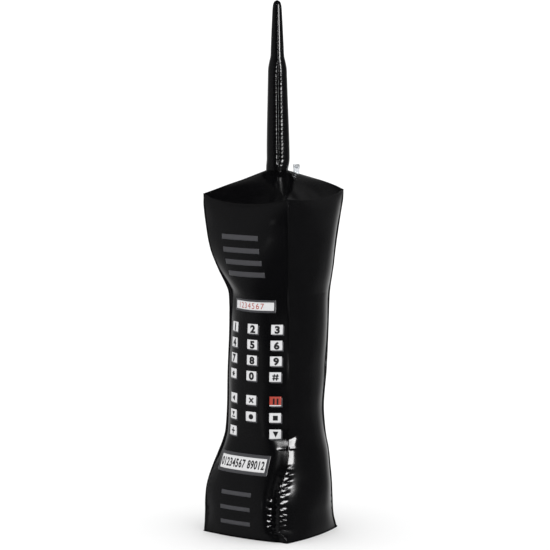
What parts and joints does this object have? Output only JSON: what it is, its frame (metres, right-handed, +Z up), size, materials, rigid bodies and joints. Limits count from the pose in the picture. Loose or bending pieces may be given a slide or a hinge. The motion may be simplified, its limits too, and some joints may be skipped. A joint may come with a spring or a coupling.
{
  "type": "inflatable mobile brick phone",
  "caption": "Inflatable black film brick phone with welded seams, a swaying antenna, an air valve and a printed keypad.",
  "frame": {"origin": "middle of the flat base between its four corners, on the surface it stands on", "axes": "+Z up along the antenna, -Y is where the face with the keys looks, +X is the viewer's right when looking at that face"},
  "size_m": [0.1688, 0.1679, 0.7606],
  "materials": {
    "black_film": "glossy",
    "clear_vinyl": "clear, slightly milky",
    "white_ink": "satin print",
    "grey_ink": "satin print",
    "red_ink": "satin print"
  },
  "bodies": {
    "envelope": {"front_panel": "black_film", "back_panel": "black_film", "left_side_panel": "black_film", "right_side_panel": "black_film", "top_panel": "black_film", "base_panel": "black_film", "valve_flange": "clear_vinyl", "key_1": "white_ink", "key_2": "white_ink", "key_3": "white_ink", "key_4": "white_ink", "key_5": "white_ink", "key_6": "white_ink", "key_7": "white_ink", "key_8": "white_ink", "key_9": "white_ink", "key_star": "white_ink", "key_0": "white_ink", "key_hash": "white_ink", "key_recall": "white_ink", "key_clear": "white_ink", "key_power": "red_ink", "key_store": "white_ink", "key_lock": "white_ink", "key_end": "white_ink", "key_program": "white_ink", "key_volume": "white_ink", "display_window": "white_ink", "display_border": "grey_ink", "name_plate": "white_ink", "name_plate_border": "grey_ink", "head_bar_1": "grey_ink", "head_bar_2": "grey_ink", "head_bar_3": "grey_ink", "head_bar_4": "grey_ink", "foot_bar_1": "grey_ink", "foot_bar_2": "grey_ink", "foot_bar_3": "grey_ink"},
    "antenna_root": {"antenna_root_ring": "black_film"},
    "antenna": {"antenna_front_sheet": "black_film", "antenna_back_sheet": "black_film"},
    "valve_tube": {"valve_stem": "clear_vinyl", "valve_strap": "clear_vinyl"},
    "valve_cap": {"valve_plug": "clear_vinyl"},
    "valve_flap": {"valve_check_flap": "clear_vinyl"}
  },
  "joints": [
    {"name": "antenna_sway_side", "type": "hinge", "parent": "envelope", "child": "antenna_root", "pos_m": [0, 0.016, 0.522], "axis": [0, 1, 0], "range_deg": [-18, 18], "stiffness_Nm_per_rad": 0.06},
    {"name": "antenna_sway_front", "type": "hinge", "parent": "antenna_root", "child": "antenna", "pos_m": [0, 0.016, 0.522], "axis": [1, 0, 0], "range_deg": [-18, 18], "stiffness_Nm_per_rad": 0.06},
    {"name": "valve_push_in", "type": "slide", "parent": "envelope", "child": "valve_tube", "axis": [0, 0, 1], "range_m": [-0.0065, 0]},
    {"name": "valve_cap_open", "type": "hinge", "parent": "valve_tube", "child": "valve_cap", "pos_m": [0.0215, 0.0401, 0.524], "axis": [-1, 0, 0], "range_deg": [0, 165]},
    {"name": "valve_flap_open", "type": "hinge", "parent": "valve_tube", "child": "valve_flap", "pos_m": [0.0215, 0.0377, 0.5047], "axis": [1, 0, 0], "range_deg": [0, 60], "stiffness_Nm_per_rad": 0.0005}
  ]
}
